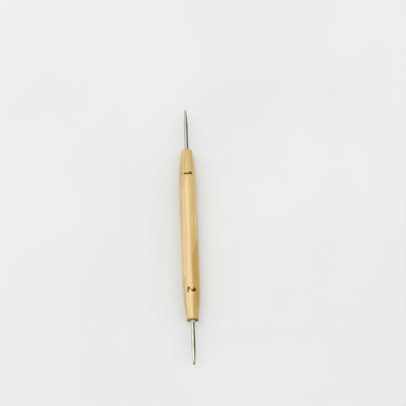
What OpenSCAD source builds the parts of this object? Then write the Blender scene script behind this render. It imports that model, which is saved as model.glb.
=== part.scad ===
// Double-ended embossing stylus: a turned wooden handle with a steel shank and a ball at each end.
// Its axis is the X axis, with the No. 1 end towards -X and the numerals facing up.

/* [Handle] */
// Length of the wooden handle
handle_len = 102; // [80:1:140]
// Diameter of the straight middle of the handle
handle_d = 10; // [9:0.1:14]
// Length of the curved taper at the No. 1 end
nose_taper_len = 25; // [18:0.5:35]
// Diameter of the No. 1 end, before its rim is rounded
nose_d = 6.2; // [6:0.1:8]
// Radius of the rounded rim at the No. 1 end
nose_rim_r = 1.8; // [0.5:0.1:1.9]
// Length of the curved taper at the No. 2 end
tail_taper_len = 25; // [18:0.5:35]
// Diameter of the square-cut face at the No. 2 end
tail_d = 6.7; // [4:0.1:8.5]

/* [Numerals] */
// Height of the numerals, across the handle
numeral_h = 4.7; // [4:0.1:6]
// Width of the 2, along the handle
two_w = 2.4; // [2.2:0.1:3.6]
// Reach of the flag of the 1 from the middle of its stem
flag_reach = 1.3; // [0.8:0.1:2]
// Drop of the flag of the 1 from the top of its stem
flag_drop = 0.8; // [0.2:0.1:1.5]
// Width of the strokes of the numerals
stroke_w = 0.8; // [0.4:0.05:1]
// Depth of the numerals in the wood
numeral_depth = 0.15; // [0.05:0.05:0.4]
// Distance from the No. 1 end of the handle to the stem of the 1
one_inset = 16.3; // [8:0.1:30]
// Distance that the 1 sits off the middle of the handle, towards its top
one_offset = 0.3; // [-0.8:0.1:0.8]
// Distance from the No. 2 end of the handle to the middle of the 2
two_inset = 16.6; // [8:0.1:30]

/* [Shanks] */
// Diameter of the steel shanks
shank_d = 2.2; // [1.6:0.1:2.4]
// Depth of each shank in the handle
shank_depth = 20; // [8:0.5:35]
// Chamfer on the inner end of each shank
shank_chamfer = 0.3; // [0.1:0.05:0.6]
// Number of glue grooves round the hidden length of each shank
groove_count = 3; // [1:1:5]
// Width of each glue groove
groove_w = 1; // [0.5:0.1:1.5]
// Depth of each glue groove
groove_depth = 0.2; // [0.05:0.05:0.3]
// Reach of the No. 1 end out of the handle, with its ball
reach_1 = 25; // [15:0.5:40]
// Reach of the No. 2 end out of the handle, with its ball
reach_2 = 25; // [15:0.5:40]
// Slope of the shanks towards their tips, in degrees from the axis
taper_angle = 4; // [3.5:0.1:12]
// Diameter of shank 1 where its short neck begins
neck_1_d = 1.3; // [1:0.05:1.5]
// Diameter of shank 2 where its short neck begins
neck_2_d = 1.45; // [1.2:0.05:1.6]
// Length of the necks
neck_len = 0.8; // [0.4:0.1:1.5]
// Diameter of the tip of shank 1, at its ball
tip_1_d = 0.5; // [0.4:0.05:0.7]
// Diameter of the tip of shank 2, at its ball
tip_2_d = 0.8; // [0.7:0.05:1.1]

/* [Balls] */
// Diameter of the ball at the No. 1 end
ball_1_d = 0.8; // [0.7:0.05:1.2]
// Diameter of the ball at the No. 2 end
ball_2_d = 1.3; // [1.1:0.05:2]
// Width of the flat rim round each ball's seat
seat_rim = 0.06; // [0.03:0.01:0.12]

/* [Glued joints] */
// Gap for the glue round each shank
glue_gap = 0.2; // [0.05:0.05:0.3]
// Width of the glue bead past the edge of the bore
bead_w = 0.1; // [0.05:0.05:0.25]
// Height of the glue bead along the shank
bead_h = 0.3; // [0.1:0.05:0.6]
// Depth of each bore past the end of its shank
bore_spare = 0.5; // [0:0.1:2]
// Point angle of the drill, in degrees
drill_angle = 118; // [90:1:140]

/* [Hidden] */
$fn = 96;

handle_r = handle_d / 2;
shank_r = shank_d / 2;
bore_r = shank_r + glue_gap;
groove_r = shank_r - groove_depth;
groove_pitch = (shank_depth - shank_chamfer) / groove_count;
// The origin is in the middle of the handle's straight length
nose_x = (tail_taper_len - nose_taper_len - handle_len) / 2;
tail_x = nose_x + handle_len;

// Each taper is one arc that meets the straight middle without a corner
function taper_arc_r(length, end_d) =
    let (drop = handle_r - end_d / 2) (length ^ 2 + drop ^ 2) / (2 * drop);
nose_arc_r = taper_arc_r(nose_taper_len, nose_d);
tail_arc_r = taper_arc_r(tail_taper_len, tail_d);
nose_arc_centre = [handle_r - nose_arc_r, nose_taper_len];
tail_arc_centre = [handle_r - tail_arc_r, handle_len - tail_taper_len];

// The rim's arc touches the end face and, from inside, the taper's arc
rim_reach = nose_arc_r - nose_rim_r;
rim_centre = [
    nose_arc_centre.x + sqrt(rim_reach ^ 2 - (nose_taper_len - nose_rim_r) ^ 2),
    nose_rim_r
];
rim_angle = asin((nose_rim_r - nose_taper_len) / rim_reach);
tail_angle = asin(tail_taper_len / tail_arc_r);
rim_steps = 8;
taper_steps = 12;

// The 2 is a hook, a diagonal that leaves it smoothly, and a foot
hook_start = 175;
hook_end = -40;
hook_steps = 16;
hook_centre = [0, (numeral_h - two_w) / 2];

wood_colour = [0.87, 0.76, 0.54];
steel_colour = [0.76, 0.76, 0.72];
ball_colour = [0.45, 0.45, 0.43];
glue_colour = [0.80, 0.60, 0.32];

// Distance from the handle's end to the centre of a ball
function ball_z(reach, ball_d) = reach - ball_d / 2;

// Distance from the handle's end to the flat rim of a shank's tip
function tip_z(reach, ball_d, tip_d) =
    ball_z(reach, ball_d) - sqrt((ball_d / 2) ^ 2 - (tip_d / 2 - seat_rim) ^ 2);

function direction(angle) = [cos(angle), sin(angle)];

// Points +Z out of the No. 1 end, from the middle of its face
module at_end_1() {
    translate([nose_x, 0, 0]) rotate([0, -90, 0]) children();
}

// Points +Z out of the No. 2 end, from the middle of its face
module at_end_2() {
    translate([tail_x, 0, 0]) rotate([0, 90, 0]) children();
}

// Points along an arc, without its first one
function arc_points(centre, radius, from, to, steps) =
    [for (i = [1:steps]) centre + radius * direction(from + (to - from) * i / steps)];

// Outline of the handle, turned about x = 0 with the nose at y = 0, or one that lies inside it
function handle_outline(inset = 0) = concat(
    [[0, inset], [rim_centre.x, inset]],
    arc_points(rim_centre, nose_rim_r - inset, -90, rim_angle, rim_steps),
    arc_points(nose_arc_centre, nose_arc_r - inset, rim_angle, 0, taper_steps),
    [tail_arc_centre + [tail_arc_r - inset, 0]],
    arc_points(tail_arc_centre, tail_arc_r - inset, 0, tail_angle, taper_steps),
    [[0, handle_len]]
);

module turned(outline) {
    translate([nose_x, 0, 0]) rotate([0, 90, 0]) rotate_extrude() polygon(outline);
}

module one_shape() {
    top = numeral_h / 2;
    square([stroke_w, numeral_h], center = true);
    polygon([
        [0, top],
        [-flag_reach, top - flag_drop],
        [-flag_reach, top - flag_drop - stroke_w],
        [0, top - stroke_w]
    ]);
}

module two_shape() {
    outer_r = two_w / 2;
    inner_r = outer_r - stroke_w;
    bottom = -numeral_h / 2;
    foot_top = bottom + stroke_w;
    // The diagonal heads the way that the hook ends, down into the foot
    run = direction(hook_end - 90);
    function at_height(point, y) = point + run * (y - point.y) / run.y;
    inner = hook_centre + inner_r * direction(hook_end);
    outer = hook_centre + outer_r * direction(hook_end);
    inner_left = inner - run * (inner.x + outer_r) / run.x;
    polygon(concat(
        [hook_centre + outer_r * direction(hook_start)],
        arc_points(hook_centre, outer_r, hook_start, hook_end, hook_steps),
        [at_height(outer, foot_top), [outer_r, foot_top]],
        [[outer_r, bottom], [-outer_r, bottom]],
        inner_left.y > foot_top
            ? [inner_left]
            : [[-outer_r, foot_top], at_height(inner, foot_top)],
        [inner],
        arc_points(hook_centre, inner_r, hook_end, hook_start, hook_steps)
    ));
}

// A numeral's recess, which keeps one depth as it follows the round of the handle
module recess(x) {
    difference() {
        translate([x, 0, 0]) linear_extrude(height = handle_d) children();
        turned(handle_outline(numeral_depth));
    }
}

// Blind hole for a shank, drilled in from the handle's end
module bore() {
    depth = shank_depth + bore_spare;
    point = bore_r / tan(drill_angle / 2);
    translate([0, 0, -depth]) cylinder(r = bore_r, h = depth + handle_d);
    translate([0, 0, -depth - point]) cylinder(r1 = 0, r2 = bore_r, h = point);
}

// Points along a shank's hidden length, from the mouth of its bore to its inner chamfer
function grooved_points() = [
    for (i = [0 : groove_count - 1])
        let (start = -i * groove_pitch)
        each [
            [shank_r, start],
            [groove_r, start],
            [groove_r, start - groove_w],
            [shank_r, start - groove_w]
        ],
    [shank_r, shank_chamfer - shank_depth]
];

// Straight rod with a slow taper and a short neck, and a cup in its tip for the ball
module shank(reach, ball_d, tip_d, neck_d) {
    tip = tip_z(reach, ball_d, tip_d);
    neck = tip - neck_len;
    taper_len = (shank_r - neck_d / 2) / tan(taper_angle);
    difference() {
        rotate_extrude()
            polygon(concat(
                [[0, tip], [tip_d / 2, tip], [neck_d / 2, neck], [shank_r, neck - taper_len]],
                grooved_points(),
                [[shank_r - shank_chamfer, -shank_depth], [0, -shank_depth]]
            ));
        ball(reach, ball_d);
    }
}

module ball(reach, ball_d) {
    translate([0, 0, ball_z(reach, ball_d)]) sphere(d = ball_d);
}

// Glue that fills the gap round a shank and stands as a small bead at the mouth
module adhesive() {
    rotate_extrude()
        polygon(concat(
            [[shank_r, bead_h]],
            grooved_points(),
            [[bore_r, shank_chamfer - shank_depth], [bore_r, 0], [bore_r + bead_w, 0]]
        ));
}

module handle() {
    color(wood_colour)
        difference() {
            turned(handle_outline());
            recess(nose_x + one_inset) translate([0, one_offset]) one_shape();
            recess(tail_x - two_inset) two_shape();
            at_end_1() bore();
            at_end_2() bore();
        }
}

module shank_1() {
    color(steel_colour) at_end_1() shank(reach_1, ball_1_d, tip_1_d, neck_1_d);
}

module shank_2() {
    color(steel_colour) at_end_2() shank(reach_2, ball_2_d, tip_2_d, neck_2_d);
}

module ball_1() {
    color(ball_colour) at_end_1() ball(reach_1, ball_1_d);
}

module ball_2() {
    color(ball_colour) at_end_2() ball(reach_2, ball_2_d);
}

module adhesive_1() {
    color(glue_colour) at_end_1() adhesive();
}

module adhesive_2() {
    color(glue_colour) at_end_2() adhesive();
}

handle();
shank_1();
shank_2();
ball_1();
ball_2();
adhesive_1();
adhesive_2();
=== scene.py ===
"""Dresses the double-ended embossing stylus: wooden handle, steel shanks, ball tips and glue beads."""

from math import asin, cos, exp, hypot, pi, radians, sin, sqrt, tan, tau

import bpy
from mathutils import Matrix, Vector


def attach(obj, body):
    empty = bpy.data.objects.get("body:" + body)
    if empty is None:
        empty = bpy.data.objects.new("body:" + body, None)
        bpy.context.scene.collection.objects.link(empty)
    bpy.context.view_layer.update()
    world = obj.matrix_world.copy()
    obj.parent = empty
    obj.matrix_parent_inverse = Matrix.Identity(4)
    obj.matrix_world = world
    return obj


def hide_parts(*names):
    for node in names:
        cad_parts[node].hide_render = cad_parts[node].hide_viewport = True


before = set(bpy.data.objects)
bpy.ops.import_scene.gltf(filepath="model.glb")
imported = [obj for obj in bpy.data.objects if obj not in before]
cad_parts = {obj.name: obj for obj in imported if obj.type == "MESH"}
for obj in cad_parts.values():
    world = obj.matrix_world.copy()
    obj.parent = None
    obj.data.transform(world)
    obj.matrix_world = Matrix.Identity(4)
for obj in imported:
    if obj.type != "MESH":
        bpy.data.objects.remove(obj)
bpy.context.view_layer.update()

MM = 0.001

# Real sizes in millimetres, the same as the solids'
HANDLE_LEN = 102
HANDLE_R = 5
NOSE_TAPER = 25
NOSE_R = 3.1
NOSE_RIM_R = 1.8
TAIL_TAPER = 25
TAIL_R = 3.35
NOSE_X = -HANDLE_LEN / 2
TAIL_X = HANDLE_LEN / 2

NUMERAL_H = 4.7
TWO_W = 2.4
FLAG_REACH = 1.3
FLAG_DROP = 0.8
STROKE_W = 0.8
NUMERAL_DEPTH = 0.15
ONE_X = NOSE_X + 16.3
ONE_Y = 0.3
TWO_X = TAIL_X - 16.6
HOOK_START = 175
HOOK_END = -40

SHANK_R = 1.1
SHANK_DEPTH = 20
SHANK_CHAMFER = 0.3
GROOVE_COUNT = 3
GROOVE_W = 1
GROOVE_R = 0.9
REACH = 25
TAPER_ANGLE = radians(4)
NECK_LEN = 0.8
NECK_1_R = 0.65
NECK_2_R = 0.725
TIP_RIM = 0.06
TIP_1_R = 0.25
TIP_2_R = 0.4
BALL_1_R = 0.4
BALL_2_R = 0.65

BORE_R = 1.3
BORE_DEPTH = 20.5
DRILL_HALF_ANGLE = radians(59)
BEAD_R = 1.4
BEAD_H = 0.3

# Softened edges in millimetres, which the solids don't have. A recess slopes from RECESS_TOP outside
# its stroke's edge down to RECESS_FLOOR inside it.
TAIL_EDGE_R = 0.14
FINE_EDGE = 0.02
MOUTH_RIM = 0.1
RECESS_TOP = 0.04
RECESS_FLOOR = -0.12
TAPER_BLEND = 0.15
TAPER_DIP = 0.004
NECK_BLEND = 0.05
NECK_DIP = 0.006
NECK_HOLLOW = 0.03

# A film of glue that runs up each shank from its bead
FILM_1_REACH = 0.5
FILM_2_REACH = 1.3
FILM_DEPTH = 0.03
FILM_END = 0.08
FILM_CREEP = 0.4

# How finely the meshes are cut: the handle round its numerals and elsewhere, then the round pieces
FINE_REACH = 3.6
FINE_STEP = 0.12
COARSE_STEP = 0.7
BORE_STEP = 2
HANDLE_SEGMENTS = 256
ROUND_SEGMENTS = 64
BALL_RINGS = 32
FLOOR_CELLS = 24
FLAG_CELLS = 12

# A distance that counts as out of a numeral's reach
FAR = 10.0

# Small pin knots and darker flecks: place along the axis, turn from the top, half length, half width
FLECKS = [
    (43.8, 38, 0.6, 0.5),
    (22, 115, 0.9, 0.22),
    (27.5, -38, 0.8, 0.2),
    (-8, 70, 1.4, 0.25),
    (-22, 150, 1.1, 0.3),
    (12, 205, 0.8, 0.4),
    (30, 250, 1.6, 0.25),
    (-40, 290, 0.8, 0.25),
    (3, -75, 1.0, 0.2),
]

# How the burns spread past the edge of a stroke
BURN_EDGE = 0.14
TOAST = 0.4
TOAST_REACH = 0.5

# Where the iron barely touched: place along the axis, place across, reach across, share left out
LIGHT_TOUCHES = [
    (TWO_X, -0.45, 0.8, 0.5),
    (TWO_X, -1.95, 0.5, 0.3),
]
LIGHT_TOUCH_LEN = 2

# Where the iron burnt wider than its strokes: place along the axis, place across, reach
DEEP_BURNS = [
    (ONE_X - 0.35, 1.8, 0.5),
    (TWO_X + 0.15, 1.5, 0.9),
]
DEEP_BURN = 0.7

# Colours of the lamps
WARM = (1, 0.985, 0.95)
WHITE = (1, 1, 1)

# The camera, in metres. It looks down from beyond the tail, so the nose is at the picture's top.
CAMERA_DISTANCE = 0.8
CAMERA_LENS = 124.1
SENSOR_WIDTH = 36
AZIMUTH = radians(87.88)
ELEVATION = radians(70.4)
AIM_POINT = Vector((-0.018, 0.0083, 0))


# Outlines are lists of (distance along the axis, radius) points in millimetres
def arc(centre, radius, start, end, steps):
    """Points on an arc, its start left out. Angles are from the radial direction towards +X."""
    points = []
    for i in range(1, steps + 1):
        angle = start + (end - start) * i / steps
        points.append((centre[0] + radius * sin(angle), centre[1] + radius * cos(angle)))
    return points


def spaced(start, end, step):
    """Numbers from start to end, both left out, no more than about a step apart."""
    count = max(1, round(abs(end - start) / step))
    return [start + (end - start) * i / count for i in range(1, count)]


def smooth(low, high, value):
    share = min(1.0, max(0.0, (value - low) / (high - low)))
    return share * share * (3 - 2 * share)


def taper_arc_r(length, end_r):
    drop = HANDLE_R - end_r
    return (length**2 + drop**2) / (2 * drop)


def handle_radius(x):
    """Radius of the handle at x, away from its rounded rims."""
    nose_reach = NOSE_X + NOSE_TAPER - x
    tail_reach = x - (TAIL_X - TAIL_TAPER)
    if nose_reach > 0:
        radius = taper_arc_r(NOSE_TAPER, NOSE_R)
        return HANDLE_R - radius + sqrt(radius**2 - nose_reach**2)
    if tail_reach > 0:
        radius = taper_arc_r(TAIL_TAPER, TAIL_R)
        return HANDLE_R - radius + sqrt(radius**2 - tail_reach**2)
    return HANDLE_R


def bore_outline(face_x, inwards):
    """Outline of a drilled hole from its point out to its mouth. Inwards is 1 or -1 along X."""
    point_depth = BORE_DEPTH + BORE_R / tan(DRILL_HALF_ANGLE)
    walls = spaced(BORE_DEPTH, MOUTH_RIM, BORE_STEP)
    outline = [(point_depth, 0), (BORE_DEPTH, BORE_R)]
    outline += [(depth, BORE_R) for depth in walls]
    outline += [(MOUTH_RIM, BORE_R), (FINE_EDGE, BORE_R), (0, BORE_R + FINE_EDGE)]
    return [(face_x + inwards * depth, r) for depth, r in outline]


def handle_outline():
    nose_arc_r = taper_arc_r(NOSE_TAPER, NOSE_R)
    rim_reach = nose_arc_r - NOSE_RIM_R
    rim_centre = (
        NOSE_X + NOSE_RIM_R,
        HANDLE_R - nose_arc_r + sqrt(rim_reach**2 - (NOSE_TAPER - NOSE_RIM_R) ** 2),
    )
    rim_angle = asin((NOSE_RIM_R - NOSE_TAPER) / rim_reach)
    rim_end_x = rim_centre[0] + NOSE_RIM_R * sin(rim_angle)
    edge_centre = (TAIL_X - TAIL_EDGE_R, TAIL_R - TAIL_EDGE_R)

    stops = [rim_end_x]
    for middle in (ONE_X, TWO_X):
        stops += spaced(stops[-1], middle - FINE_REACH, COARSE_STEP)
        stops += spaced(middle - FINE_REACH, middle + FINE_REACH, FINE_STEP)
        stops.append(middle + FINE_REACH)
    stops += spaced(stops[-1], edge_centre[0], COARSE_STEP)

    outline = bore_outline(NOSE_X, 1)
    outline.append((NOSE_X, rim_centre[1] - FINE_EDGE))
    outline += arc(rim_centre, NOSE_RIM_R, radians(-90), rim_angle, 14)
    outline += [(x, handle_radius(x)) for x in stops[1:]]
    outline += arc(edge_centre, TAIL_EDGE_R, radians(15), radians(90), 5)
    outline += [(TAIL_X, r) for r in spaced(edge_centre[1], BORE_R + FINE_EDGE, 0.3)]
    outline += reversed(bore_outline(TAIL_X, -1))
    return outline


# Distances in millimetres to the strokes of the numerals, negative inside them
def bar_distance(point, start, end):
    """Distance to a straight stroke with square ends."""
    length = hypot(end[0] - start[0], end[1] - start[1])
    along = ((end[0] - start[0]) / length, (end[1] - start[1]) / length)
    offset = (point[0] - start[0], point[1] - start[1])
    run = offset[0] * along[0] + offset[1] * along[1]
    side = abs(offset[1] * along[0] - offset[0] * along[1])
    past_end = abs(run - length / 2) - length / 2
    past_side = side - STROKE_W / 2
    if past_end > 0 and past_side > 0:
        return hypot(past_end, past_side)
    return max(past_end, past_side)


def bow_distance(point, centre, radius, start, end, steps=16):
    """Distance to a curved stroke, as a chain of short straight ones."""
    ends = []
    for i in range(steps + 1):
        angle = radians(start + (end - start) * i / steps)
        ends.append((centre[0] + radius * cos(angle), centre[1] + radius * sin(angle)))
    return min(bar_distance(point, a, b) for a, b in zip(ends, ends[1:]))


def one_distance(point):
    top = NUMERAL_H / 2
    stem = bar_distance(point, (0, -top), (0, top))
    flag_top = (-0.1, top - STROKE_W / 2 - 0.1)
    flag_end = (-FLAG_REACH, top - FLAG_DROP - STROKE_W / 2)
    return min(stem, bar_distance(point, flag_top, flag_end))


def two_distance(point):
    radius = (TWO_W - STROKE_W) / 2
    centre = (0, (NUMERAL_H - TWO_W) / 2)
    foot_y = (STROKE_W - NUMERAL_H) / 2
    leave = radians(HOOK_END)
    hook = bow_distance(point, centre, radius, HOOK_START, HOOK_END)
    start = (centre[0] + radius * cos(leave), centre[1] + radius * sin(leave))
    run = radians(HOOK_END - 90)
    reach = (start[1] - foot_y) / -sin(run)
    end = (start[0] + reach * cos(run), foot_y)
    foot = bar_distance(point, (-TWO_W / 2, foot_y), (TWO_W / 2, foot_y))
    return min(hook, bar_distance(point, start, end), foot)


def numeral_distance(x, y, z):
    """Distance to the nearer numeral, as seen from above, or FAR when it is out of reach."""
    if z < 0:
        return FAR
    if abs(x - ONE_X) < FINE_REACH:
        return one_distance((x - ONE_X, y - ONE_Y))
    if abs(x - TWO_X) < FINE_REACH:
        return two_distance((x - TWO_X, y))
    return FAR


# Meshes
def add_object(name, points, faces):
    """A new object from points in metres."""
    mesh = bpy.data.meshes.new(name)
    mesh.from_pydata(points, [], faces)
    mesh.validate()
    made = bpy.data.objects.new(name, mesh)
    bpy.context.scene.collection.objects.link(made)
    return made


def turned_ring(x, r, segments, wobble):
    """Points of one ring about the X axis, in metres."""
    points = []
    for k in range(segments):
        angle = tau * k / segments
        dx, dr = wobble(x, r, angle) if wobble else (0, 0)
        place = (x + dx, (r + dr) * sin(angle), (r + dr) * cos(angle))
        points.append(tuple(MM * c for c in place))
    return points


def band(low, high, segments):
    """Faces between two rings that start at the points low and high."""
    faces = []
    for k in range(segments):
        after = (k + 1) % segments
        faces.append((low + k, low + after, high + after, high + k))
    return faces


def lathe(name, outline, segments, wobble=None):
    """A closed solid turned about the X axis from an outline whose two ends lie on the axis."""
    points = [(MM * outline[0][0], 0.0, 0.0)]
    for x, r in outline[1:-1]:
        points += turned_ring(x, r, segments, wobble)
    points.append((MM * outline[-1][0], 0.0, 0.0))
    last = len(points) - 1
    faces = []
    for k in range(segments):
        after = (k + 1) % segments
        faces.append((0, 1 + after, 1 + k))
        faces.append((last, last - segments + k, last - segments + after))
    for ring in range(len(outline) - 3):
        low = 1 + ring * segments
        faces += band(low, low + segments, segments)
    made = add_object(name, points, faces)
    made.data.shade_smooth()
    return made


def ring_lathe(name, outline, segments, wobble=None):
    """A closed sleeve turned about the X axis from an outline that is itself closed."""
    points = []
    faces = []
    for ring, (x, r) in enumerate(outline):
        following = (ring + 1) % len(outline)
        points += turned_ring(x, r, segments, wobble)
        faces += band(ring * segments, following * segments, segments)
    made = add_object(name, points, faces)
    made.data.shade_smooth()
    return made


def add_sheet(name, corner, along, across, cells, material):
    """A flat sheet of the set, in cells, from a corner and its two edges in metres."""
    points = []
    for i in range(cells + 1):
        for j in range(cells + 1):
            points.append(corner + along * i / cells + across * j / cells)
    faces = []
    for i in range(cells):
        for j in range(cells):
            low = i * (cells + 1) + j
            faces.append((low, low + cells + 1, low + cells + 2, low + 1))
    made = add_object(name, points, faces)
    made.data.materials.append(material)
    return made


def paint(piece, name, value):
    """Store value(x, y, z), with millimetres in, as a number at each point of a piece."""
    layer = piece.data.attributes.new(name, "FLOAT", "POINT")
    numbers = [value(*(c / MM for c in v.co)) for v in piece.data.vertices]
    layer.data.foreach_set("value", numbers)


# Materials
MIX_FACTOR, MIX_FIRST, MIX_SECOND, MIX_RESULT = 0, 6, 7, 2


def new_material(name):
    """A material, its node tree, its shader, and the coordinates of its object in metres."""
    material = bpy.data.materials.new(name)
    material.use_nodes = True
    tree = material.node_tree
    return material, tree, tree.nodes["Principled BSDF"], put(tree, "TexCoord", output="Object")


def feed(tree, node, key, value):
    """Link or set one input of a node."""
    if isinstance(value, bpy.types.NodeSocket):
        tree.links.new(value, node.inputs[key])
    else:
        node.inputs[key].default_value = value


def finish_shader(tree, shader, **inputs):
    """Feed a shader's inputs, whose names are written here with underscores."""
    for key, value in inputs.items():
        feed(tree, shader, key.replace("_", " "), value)


def put(tree, kind, inputs=None, output=0, **settings):
    """Add a node, set or link its inputs, and return one of its outputs."""
    node = tree.nodes.new("ShaderNode" + kind)
    for key, value in settings.items():
        setattr(node, key, value)
    for key, value in (inputs or {}).items():
        feed(tree, node, key, value)
    return node.outputs[output]


def calc(tree, operation, *values):
    return put(tree, "Math", dict(enumerate(values)), operation=operation)


def times(tree, first, *others):
    for other in others:
        first = calc(tree, "MULTIPLY", first, other)
    return first


def plus(tree, first, *others):
    for other in others:
        first = calc(tree, "ADD", first, other)
    return first


def vector_calc(tree, operation, *values, output="Vector"):
    return put(tree, "VectorMath", dict(enumerate(values)), output, operation=operation)


def noise(tree, place, size, detail=3, roughness=0.55):
    """Noise between 0 and 1 whose features are about size (x, y, z) millimetres."""
    scale = tuple(1 / (MM * s) for s in size)
    inputs = {
        "Vector": vector_calc(tree, "MULTIPLY", place, scale),
        "Scale": 1,
        "Detail": detail,
        "Roughness": roughness,
        "Distortion": 0,
    }
    return put(tree, "TexNoise", inputs)


def ease(tree, value, low, high, low_to=0, high_to=1):
    """Value taken from low..high to low_to..high_to, smoothly and without going past them."""
    inputs = {
        "Value": value,
        "From Min": low,
        "From Max": high,
        "To Min": low_to,
        "To Max": high_to,
    }
    return put(tree, "MapRange", inputs, interpolation_type="SMOOTHSTEP")


def ease_mm(tree, length, low, high, low_to=0, high_to=1):
    """The same for a length, whose low and high are given in millimetres."""
    return ease(tree, length, MM * low, MM * high, low_to, high_to)


def mix(tree, factor, first, second):
    """Mix two colours. Each is an output of a node or a written sRGB colour."""
    node = tree.nodes.new("ShaderNodeMix")
    node.data_type = "RGBA"
    feed(tree, node, MIX_FACTOR, factor)
    for key, colour in ((MIX_FIRST, first), (MIX_SECOND, second)):
        feed(tree, node, key, shade(colour) if isinstance(colour, str) else colour)
    return node.outputs[MIX_RESULT]


def shade(hex_code):
    """Linear colour from a written sRGB one."""
    channels = [int(hex_code[i : i + 2], 16) / 255 for i in (0, 2, 4)]
    linear = [c / 12.92 if c <= 0.04045 else ((c + 0.055) / 1.055) ** 2.4 for c in channels]
    return (*linear, 1)


def painted(tree, name):
    """The numbers that paint() stored."""
    return put(tree, "Attribute", output="Fac", attribute_name=name)


def bump(tree, height, depth):
    """Relief of about depth millimetres."""
    return put(tree, "Bump", {"Height": height, "Distance": MM * depth, "Strength": 1})


def late_wood(tree, place):
    """Growth rings about a pith that lies off to one side and drifts a little along the handle."""
    ring_width = 2.3
    pith = (0, MM * -19, MM * -23)
    from_pith = vector_calc(tree, "SUBTRACT", place, pith)
    across = vector_calc(tree, "MULTIPLY", from_pith, (0.012, 1, 1))
    reach = vector_calc(tree, "LENGTH", across, output="Value")
    wander = times(tree, noise(tree, place, (60, 9, 9), detail=2), MM * 4.2)
    turns = calc(tree, "DIVIDE", plus(tree, reach, wander), MM * ring_width)
    ring = calc(tree, "FRACT", turns)
    return times(tree, ease(tree, ring, 0.45, 0.9), ease(tree, ring, 0.93, 1.0, 1, 0))


def tint_and_shade_sides(tree, colour, along, side):
    """Painted light and shade along the handle and from its left side to its right, and an olive patch
    in the wood's own tone.
    """
    # Painted light and shade: the half towards the nose is painted paler on its right, where less
    # light reaches it, and darker and warmer at its left edge, where the light falls off
    nose_half = ease_mm(tree, along, 8, -8)
    painted_light_right = times(tree, ease_mm(tree, side, -0.6, 1, 0, 0.16), nose_half)
    colour = mix(tree, painted_light_right, colour, "F2E0AC")
    left_edge_shade = times(tree, ease_mm(tree, side, -3, -4.6, 0, 0.45), nose_half)
    colour = mix(tree, left_edge_shade, colour, "C4A25A")

    # Painted shade: both tapers are a little darker at their left edge. The tail has an olive patch in
    # the wood's own tone on its right
    tapers = ease_mm(tree, calc(tree, "ABSOLUTE", along), 23, 30)
    taper_edge_shade = times(tree, ease_mm(tree, side, -3.2, -4, 0, 0.35), tapers)
    colour = mix(tree, taper_edge_shade, colour, "A88A50")
    patch = times(tree, ease_mm(tree, along, 31, 37), ease_mm(tree, along, 46, 42))
    olive = times(tree, patch, ease_mm(tree, side, 0.2, 1.4, 0, 0.3))
    colour = mix(tree, olive, colour, "967D1E")

    # Painted shade: the nose is darker and yellower, most on its right side, where its sheen is weaker
    nose_shade = ease_mm(tree, along, NOSE_X + 17, NOSE_X + 11)
    nose_shade = times(tree, nose_shade, ease_mm(tree, side, -2.5, 1.5, 0, 0.85))
    return mix(tree, nose_shade, colour, "C9AC62")


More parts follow.
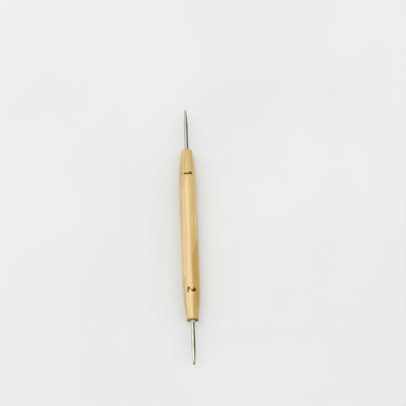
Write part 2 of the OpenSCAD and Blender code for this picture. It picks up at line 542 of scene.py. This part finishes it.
def wood_material():
    material, tree, shader, place = new_material("satin_wood")

    # Fibres from broad figure down to fine streaks, all along the axis
    figure = noise(tree, place, (38, 3.4, 3.4), detail=3)
    streaks = noise(tree, place, (22, 0.9, 0.9), detail=4, roughness=0.6)
    fibres = noise(tree, place, (7, 0.22, 0.22), detail=4, roughness=0.65)
    pore = ease(tree, noise(tree, place, (1.6, 0.11, 0.11), detail=2), 0.66, 0.76)

    # Pale sapwood on one side and golden heartwood on the other, more of it towards the tail
    along = put(tree, "SeparateXYZ", {0: place}, "X")
    towards_right = (0, 0.95, -0.25)
    side = vector_calc(tree, "DOT_PRODUCT", place, towards_right, output="Value")
    growth = ease_mm(tree, along, 2, 16, MM * -3.2, MM * 1.1)
    unevenness = times(tree, calc(tree, "SUBTRACT", figure, 0.5), MM * 3.5)
    heart_edge = plus(tree, side, growth, unevenness)
    heart = ease_mm(tree, heart_edge, -0.2, 0.8)

    # Painted shade: towards the tail the sapwood is painted duller where it meets the heartwood, which
    # dims the highlight there
    tail_half = times(tree, ease_mm(tree, along, -5, 8), ease_mm(tree, along, 38, 30))
    dimmed_highlight = times(tree, tail_half, ease_mm(tree, heart_edge, -2.6, -1.5, 0, 0.3))
    sapwood = mix(tree, dimmed_highlight, "E6C982", "C4AC5C")

    colour = mix(tree, heart, sapwood, "C49635")
    colour = mix(tree, ease(tree, figure, 0.3, 0.7, 0.5, 0), colour, "DABA70")
    colour = mix(tree, times(tree, late_wood(tree, place), 0.35), colour, "BE9550")
    colour = mix(tree, ease(tree, streaks, 0.3, 0.62, 0.4, 0), colour, "BC9450")
    colour = mix(tree, ease(tree, streaks, 0.52, 0.8, 0, 0.4), colour, "E9D296")
    colour = mix(tree, ease(tree, fibres, 0.3, 0.7, 0.2, 0), colour, "AE8544")
    colour = mix(tree, times(tree, pore, 0.4), colour, "7E5A2A")
    colour = mix(tree, ease(tree, painted(tree, "fleck"), 0.2, 0.8, 0, 0.75), colour, "8A6326")
    # Painted light and shade on the handle's sides, and the olive patch of the wood
    colour = tint_and_shade_sides(tree, colour, along, side)

    # Cut ends drink more lacquer and are darker. Painted shade darkens them more on the heartwood
    # side. The rim round them is darker still
    normal = put(tree, "TexCoord", output="Normal")
    facing = calc(tree, "ABSOLUTE", put(tree, "SeparateXYZ", {0: normal}, "X"))
    end_grain = ease(tree, facing, 0.75, 0.98)
    # End grain colour, with painted shade making the heartwood side darker
    colour = mix(tree, end_grain, colour, mix(tree, heart, "94875C", "5C4714"))
    # Darker round the tail's edge and, fainter, where the nose's flat end begins to round
    rimmed = times(tree, painted(tree, "dark_rim"), ease(tree, fibres, 0.3, 0.7, 0.6, 0.9))
    colour = mix(tree, rimmed, colour, "6A4E14")
    glue = ease(tree, painted(tree, "glue_stain"), 0.05, 0.9, 0, 0.6)
    colour = mix(tree, glue, colour, "D9975A")

    # Burnt numerals with a toasted edge, darkest where the iron dwelt
    ragged = times(tree, calc(tree, "SUBTRACT", fibres, 0.5), 0.2)
    scorch = plus(tree, painted(tree, "scorch"), ragged)
    burn = ease(tree, scorch, 0.5, 0.75)
    colour = mix(tree, ease(tree, scorch, 0.08, 0.55, 0, 0.5), colour, "C4841C")
    burnt = mix(tree, ease(tree, streaks, 0.35, 0.65), "602E00", "824E00")
    burnt = mix(tree, ease(tree, scorch, 1.1, 1.5), burnt, "481A00")
    colour = mix(tree, burn, colour, burnt)

    # Raised grain, open pores and the faint rings of sanding on the lathe
    sanding = noise(tree, place, (0.14, 9, 9), detail=2)
    char = times(tree, burn, noise(tree, place, (0.25, 0.25, 0.25), detail=3))
    relief = plus(
        tree,
        times(tree, fibres, 0.55),
        times(tree, pore, -0.8),
        times(tree, sanding, 0.3),
        times(tree, char, 1.5),
    )

    # Satin wood under a thin lacquer, which the burns and the cut ends have soaked up
    rough = ease(tree, fibres, 0.25, 0.75, 0.46, 0.34)
    bare = calc(tree, "MAXIMUM", burn, end_grain)
    finish_shader(
        tree,
        shader,
        Base_Color=colour,
        Roughness=plus(tree, rough, times(tree, burn, 0.28), times(tree, end_grain, 0.2)),
        Specular_IOR_Level=0.3,
        Coat_Weight=calc(tree, "MULTIPLY_ADD", bare, -0.9, 0.95),
        Coat_Roughness=0.13,
        Coat_IOR=1.7,
        Normal=bump(tree, relief, 0.02),
    )
    return material


def steel_material():
    """Drawn along the straight length and turned on the taper, which is paler, partly for its ground
    finish and partly as a painted reflection.
    """
    material, tree, shader, place = new_material("drawn_steel")
    drawn = noise(tree, place, (9, 0.07, 0.07), detail=3)
    turned = noise(tree, place, (0.06, 4, 4), detail=3)
    cloud = noise(tree, place, (3.5, 1.2, 1.2), detail=3)
    taper = painted(tree, "turned")
    marks = mix(tree, taper, drawn, turned)

    colour = mix(tree, ease(tree, cloud, 0.35, 0.7), "B4B2A3", "A5A393")
    colour = mix(tree, ease(tree, marks, 0.35, 0.7, 0.3, 0), colour, "8B897A")
    # Painted reflection, partly ground finish: the taper is paler
    colour = mix(tree, times(tree, taper, 0.3), colour, "E2E0D2")

    # Straw and then blue where the weld heated it
    heat = painted(tree, "heat")
    colour = mix(tree, ease(tree, heat, 0.1, 0.6, 0, 0.5), colour, "B59A68")
    colour = mix(tree, ease(tree, heat, 0.6, 1.0, 0, 0.55), colour, "5E5A60")
    finish_shader(
        tree,
        shader,
        Base_Color=colour,
        Metallic=1,
        Roughness=ease(tree, cloud, 0.3, 0.7, 0.29, 0.37),
        Normal=bump(tree, marks, 0.0015),
    )
    return material


def ball_material():
    """Polished by use and darker than the shank, darkest round the weld."""
    material, tree, shader, place = new_material("ball_steel")
    cloud = noise(tree, place, (0.5, 0.5, 0.5), detail=3)
    scuffs = noise(tree, place, (0.05, 0.3, 0.3), detail=3)
    colour = mix(tree, ease(tree, cloud, 0.35, 0.65), "8A8986", "6C6B69")
    weld = ease(tree, painted(tree, "heat"), 0.1, 0.9, 0, 0.6)
    finish_shader(
        tree,
        shader,
        Base_Color=mix(tree, weld, colour, "4F4A4A"),
        Metallic=1,
        Roughness=ease(tree, scuffs, 0.3, 0.7, 0.14, 0.3),
        Normal=bump(tree, scuffs, 0.002),
    )
    return material


def glue_material():
    material, tree, shader, place = new_material("amber_glue")
    cloud = noise(tree, place, (0.6, 0.6, 0.6), detail=3)
    finish_shader(
        tree,
        shader,
        Base_Color=mix(tree, ease(tree, cloud, 0.3, 0.7), "F9ECC8", "F0D49C"),
        Roughness=ease(tree, cloud, 0.3, 0.7, 0.08, 0.2),
        Transmission_Weight=0.1,
        Normal=bump(tree, cloud, 0.02),
    )
    return material


def seen_directly(tree):
    """One for what the camera or a reflection sees, and zero for the light that a thing gives."""
    is_camera = put(tree, "LightPath", output="Is Camera Ray")
    is_glossy = put(tree, "LightPath", output="Is Glossy Ray")
    is_transmitted = put(tree, "LightPath", output="Is Transmission Ray")
    return calc(tree, "MAXIMUM", calc(tree, "MAXIMUM", is_camera, is_glossy), is_transmitted)


def floor_material():
    material, tree, shader, place = new_material("pale_floor")
    cloud = noise(tree, place, (140, 90, 90), detail=2)
    colour = mix(tree, ease(tree, cloud, 0.3, 0.7), "E9E9E7", "E5E5E3")

    # To the eye a part of the floor's paleness is its own, so that shadows on it stay light,
    # and far from the lamps it is as pale as the background behind it
    seen = seen_directly(tree)
    distance = vector_calc(tree, "LENGTH", place, output="Value")
    finish_shader(
        tree,
        shader,
        Base_Color=mix(tree, times(tree, seen, 0.27), colour, "000000"),
        Roughness=0.7,
        Specular_IOR_Level=0.2,
        Emission_Color=shade("F4F6F6"),
        Emission_Strength=times(tree, ease(tree, distance, 0.6, 2.6, 0.245, 0.42), seen),
    )
    return material


def cloth_material():
    material, tree, shader, place = new_material("black_cloth")
    weave = noise(tree, place, (3, 3, 3))
    finish_shader(tree, shader, Base_Color=mix(tree, weave, "505040", "5E5E4C"), Roughness=0.9)
    return material


# What is painted on the handle, from a place in millimetres
def scorch(x, y, z):
    """How burnt the wood is: about 1 inside a stroke, and fading out beside it."""
    away = numeral_distance(x, y, z)
    burnt = 0.5 * (away < BURN_EDGE) + 0.5 * smooth(BURN_EDGE, -0.1, away)
    toasted = TOAST * exp(-away / TOAST_REACH) if away > 0 else 0
    mark = max(burnt, toasted)
    if z <= 0:
        return mark
    for at, across, reach, share in LIGHT_TOUCHES:
        near = exp(-(((x - at) / LIGHT_TOUCH_LEN) ** 2) - ((y - across) / reach) ** 2)
        mark *= 1 - share * near
    for at, across, reach in DEEP_BURNS:
        mark += DEEP_BURN * exp(-((x - at) ** 2 + (y - across) ** 2) / reach**2)
    return mark


def fleck(x, y, z):
    best = 0.0
    for at, angle, length, width in FLECKS:
        turn = radians(angle)
        side = y * cos(turn) - z * sin(turn)
        if y * sin(turn) + z * cos(turn) > 0:
            best = max(best, exp(-(((x - at) / length) ** 2) - (side / width) ** 2))
    return best


def dark_rim(x, y, z):
    """Dark rims: round the tail's edge, and fainter where the nose's flat end begins to round."""
    flat_end_r = 2.1
    r = hypot(y, z)
    tail = smooth(0.55, 0.2, hypot(x - TAIL_X, r - TAIL_R))
    nose = 0.3 * exp(-hypot(x - NOSE_X, r - flat_end_r) / 0.6)
    return max(tail, nose)


def glue_stain(x, y, z):
    """Glue that soaked in round the nose's hole, with a smear on top."""
    ring = exp(-hypot(x - NOSE_X, hypot(y, z) - BORE_R) / 0.4)
    smear = exp(-(((x - NOSE_X - 1.1) / 0.9) ** 2) - ((y - 0.5) / 0.8) ** 2) * (z > 0)
    return max(ring, smear)


def press_numerals(x, r, angle):
    """How far the numerals' recesses move a point of the handle, along the axis and outwards."""
    away = numeral_distance(x, r * sin(angle), r * cos(angle))
    return 0, -NUMERAL_DEPTH * smooth(RECESS_TOP, RECESS_FLOOR, away)


# Pieces
def adopt(piece, node, material):
    """Show a piece in place of a solid, with its finish."""
    piece.data.materials.append(material)
    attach(piece, "root")
    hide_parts(node)


def make_handle(material):
    piece = lathe("turned_handle", handle_outline(), HANDLE_SEGMENTS, press_numerals)
    paint(piece, "scorch", scorch)
    paint(piece, "fleck", fleck)
    paint(piece, "dark_rim", dark_rim)
    paint(piece, "glue_stain", glue_stain)
    adopt(piece, "handle", material)


def shank_outline(neck_r, tip_r, ball_r):
    """A shank along its own axis, from its inner end to the ball's cup, and where its parts lie."""
    ball_z = REACH - ball_r
    cup_r = tip_r - TIP_RIM
    tip_z = ball_z - sqrt(ball_r**2 - cup_r**2)
    neck_z = tip_z - NECK_LEN
    taper_z = neck_z - (SHANK_R - neck_r) / tan(TAPER_ANGLE)

    outline = [(-SHANK_DEPTH, 0), (-SHANK_DEPTH, SHANK_R - SHANK_CHAMFER)]
    outline.append((SHANK_CHAMFER - SHANK_DEPTH, SHANK_R))
    pitch = (SHANK_DEPTH - SHANK_CHAMFER) / GROOVE_COUNT
    for i in reversed(range(GROOVE_COUNT)):
        start = -i * pitch
        outline += [(start - GROOVE_W, SHANK_R), (start - GROOVE_W, GROOVE_R)]
        outline += [(start, GROOVE_R), (start, SHANK_R)]
    outline += [(z, SHANK_R) for z in spaced(0, taper_z - TAPER_BLEND, 1)]

    # The straight length runs into the taper over a short blend, and the taper into the neck
    slope = tan(TAPER_ANGLE)
    outline += [(taper_z - TAPER_BLEND, SHANK_R), (taper_z, SHANK_R - TAPER_DIP)]
    outline.append((taper_z + TAPER_BLEND, SHANK_R - TAPER_BLEND * slope))
    for z in spaced(taper_z + TAPER_BLEND, neck_z - NECK_BLEND, 0.4):
        outline.append((z, SHANK_R - (z - taper_z) * slope))
    outline += [(neck_z - NECK_BLEND, neck_r + NECK_BLEND * slope), (neck_z, neck_r - NECK_DIP)]

    # The neck hollows slightly on its way to the ball
    for z in spaced(neck_z, tip_z, 0.1):
        run = (z - neck_z) / NECK_LEN
        outline.append((z, neck_r + (tip_r - neck_r) * run - NECK_HOLLOW * sin(pi * run)))
    outline += [(tip_z, tip_r - FINE_EDGE), (tip_z, cup_r)]

    cup_steps = 6
    cup_angle = asin(cup_r / ball_r)
    for i in range(1, cup_steps):
        angle = cup_angle * (1 - i / cup_steps)
        outline.append((ball_z - ball_r * cos(angle), ball_r * sin(angle)))
    outline.append((ball_z - ball_r, 0))
    return outline, taper_z, tip_z, ball_z


def ball_outline(ball_z, ball_r):
    outline = [(ball_z - ball_r, 0)]
    for i in range(1, BALL_RINGS):
        angle = pi * i / BALL_RINGS
        outline.append((ball_z - ball_r * cos(angle), ball_r * sin(angle)))
    outline.append((ball_z + ball_r, 0))
    return outline


def glue_outline(film_reach):
    """A sleeve in the bore, and a hollow meniscus that thins out to a film on the shank."""
    inner_end = SHANK_CHAMFER - SHANK_DEPTH
    film_r = SHANK_R + FILM_DEPTH
    outline = [(inner_end, SHANK_R), (inner_end, BORE_R)]
    outline += [(z, BORE_R) for z in spaced(inner_end, -FINE_EDGE, BORE_STEP)]
    outline += [(-FINE_EDGE, BORE_R), (0, BORE_R + FINE_EDGE), (0, BEAD_R)]
    meniscus_steps = 8
    for i in range(1, meniscus_steps + 1):
        angle = radians(90 * i / meniscus_steps)
        outline.append((BEAD_H * (1 - cos(angle)), BEAD_R - (BEAD_R - film_r) * sin(angle)))
    outline += [(z, film_r) for z in spaced(BEAD_H, film_reach - FILM_END, 0.1)]
    outline += [(film_reach - FILM_END, film_r), (film_reach - 0.02, film_r - 0.01)]
    outline.append((film_reach, SHANK_R))
    return outline


def make_end(side, number, neck_r, tip_r, ball_r, film_reach, steel, ball_steel, glue):
    """The shank, ball and glue of one end. Side is -1 at the nose and 1 at the tail."""
    outline, taper_z, tip_z, ball_z = shank_outline(neck_r, tip_r, ball_r)
    seat_z = tip_z + 0.12 * ball_r

    def own_z(x):
        """Distance out from the handle's end."""
        return side * x - HANDLE_LEN / 2

    def placed(points):
        """An outline along the end's own axis, in the handle's frame."""
        moved = [(side * (HANDLE_LEN / 2 + z), r) for z, r in points]
        return moved if side > 0 else moved[::-1]

    def creep(x, r, angle):
        """The glue climbs unevenly round the shank."""
        raised = smooth(FINE_EDGE, film_reach, own_z(x))
        lean = 0.5 + 0.3 * sin(angle + number) + 0.2 * sin(3 * angle + 2 * number)
        return -side * raised * FILM_CREEP * film_reach * lean, 0

    shank = lathe(f"steel_shank_{number}", placed(outline), ROUND_SEGMENTS)
    paint(shank, "turned", lambda x, y, z: smooth(taper_z - 0.3, taper_z + 0.3, own_z(x)))
    paint(shank, "heat", lambda x, y, z: smooth(tip_z - 1.1, tip_z, own_z(x)))
    adopt(shank, f"shank_{number}", steel)

    ball = lathe(f"tip_ball_{number}", placed(ball_outline(ball_z, ball_r)), ROUND_SEGMENTS)
    paint(ball, "heat", lambda x, y, z: smooth(seat_z + 0.35 * ball_r, seat_z, own_z(x)))
    adopt(ball, f"ball_{number}", ball_steel)

    sleeve = placed(glue_outline(film_reach))
    bead = ring_lathe(f"glue_bead_{number}", sleeve, ROUND_SEGMENTS, creep)
    adopt(bead, f"adhesive_{number}", glue)


# The set
def aim(thing, target):
    thing.rotation_mode = "QUATERNION"
    thing.rotation_quaternion = (Vector(target) - thing.location).to_track_quat("-Z", "Y")


def add_lamp(name, location, target, width, length, watts, colour, shows=True):
    """A softbox. Shows says whether reflections meet it."""
    lamp = bpy.data.lights.new(name, "AREA")
    lamp.shape = "RECTANGLE"
    lamp.size = width
    lamp.size_y = length
    lamp.energy = watts
    lamp.color = colour
    made = bpy.data.objects.new(name, lamp)
    bpy.context.scene.collection.objects.link(made)
    made.location = location
    aim(made, target)
    made.visible_camera = False
    made.visible_glossy = shows


def add_floor():
    """The floor that the handle lies on."""
    half = 3.0
    corner = Vector((-half, -half, -MM * HANDLE_R))
    edges = Vector((2 * half, 0, 0)), Vector((0, 2 * half, 0))
    add_sheet("floor", corner, *edges, FLOOR_CELLS, floor_material())


def add_flag(name, low_corner, high_corner, cloth):
    """A dark cloth beside the set. Only reflections meet it, as the dark line in polished metal."""
    corner = Vector(low_corner)
    diagonal = Vector(high_corner) - corner
    along = Vector((diagonal.x, 0, 0))
    made = add_sheet(name, corner, along, diagonal - along, FLAG_CELLS, cloth)
    made.visible_camera = False
    made.visible_diffuse = False
    made.visible_shadow = False


def add_world():
    """The eye and the metal see the far background as pale as the floor."""
    world = bpy.data.worlds.new("studio")
    bpy.context.scene.world = world
    world.use_nodes = True
    tree = world.node_tree
    strength = calc(tree, "MULTIPLY_ADD", seen_directly(tree), 0.26, 0.54)
    feed(tree, tree.nodes["Background"], "Color", (0.95, 0.98, 1, 1))
    feed(tree, tree.nodes["Background"], "Strength", strength)


def add_camera():
    back = Vector(
        (sin(AZIMUTH) * cos(ELEVATION), -cos(AZIMUTH) * cos(ELEVATION), sin(ELEVATION))
    )
    camera = bpy.data.objects.new("camera", bpy.data.cameras.new("camera"))
    bpy.context.scene.collection.objects.link(camera)
    camera.data.sensor_width = SENSOR_WIDTH
    camera.data.lens = CAMERA_LENS
    camera.location = AIM_POINT + CAMERA_DISTANCE * back
    aim(camera, AIM_POINT)
    bpy.context.scene.camera = camera


steel = steel_material()
ball_steel = ball_material()
glue = glue_material()
make_handle(wood_material())
make_end(-1, 1, NECK_1_R, TIP_1_R, BALL_1_R, FILM_1_REACH, steel, ball_steel, glue)
make_end(1, 2, NECK_2_R, TIP_2_R, BALL_2_R, FILM_2_REACH, steel, ball_steel, glue)

add_floor()
add_lamp("near_softbox", (-0.18, -1.1, 1.2), (-0.18, -1.1, 0), 0.62, 2.6, 9.9, WARM)
add_lamp("far_softbox", (-0.56, -1.1, 1.2), (-0.56, -1.1, 0), 0.14, 2.6, 1.9, WARM)
add_lamp("left_fill", (-0.5, -1.8, 0.58), (-0.1, 0, 0), 0.7, 1.1, 3.8, WARM)
add_lamp("right_fill", (0.0, 1.1, 0.98), (0, 0, 0), 1.5, 1.6, 8.4, WHITE, shows=False)
cloth = cloth_material()
add_flag("right_flag", (-1.3, 1.5, 0.0), (0.7, 1.5, 2.3), cloth)
add_flag("shank_flag_1", (-0.095, 0.006, -0.0048), (-0.066, 0.09, -0.0048), cloth)
add_flag("shank_flag_2", (0.055, 0.006, -0.0048), (0.0635, 0.09, -0.0048), cloth)
add_world()
add_camera()
bpy.context.scene.view_settings.view_transform = "Standard"
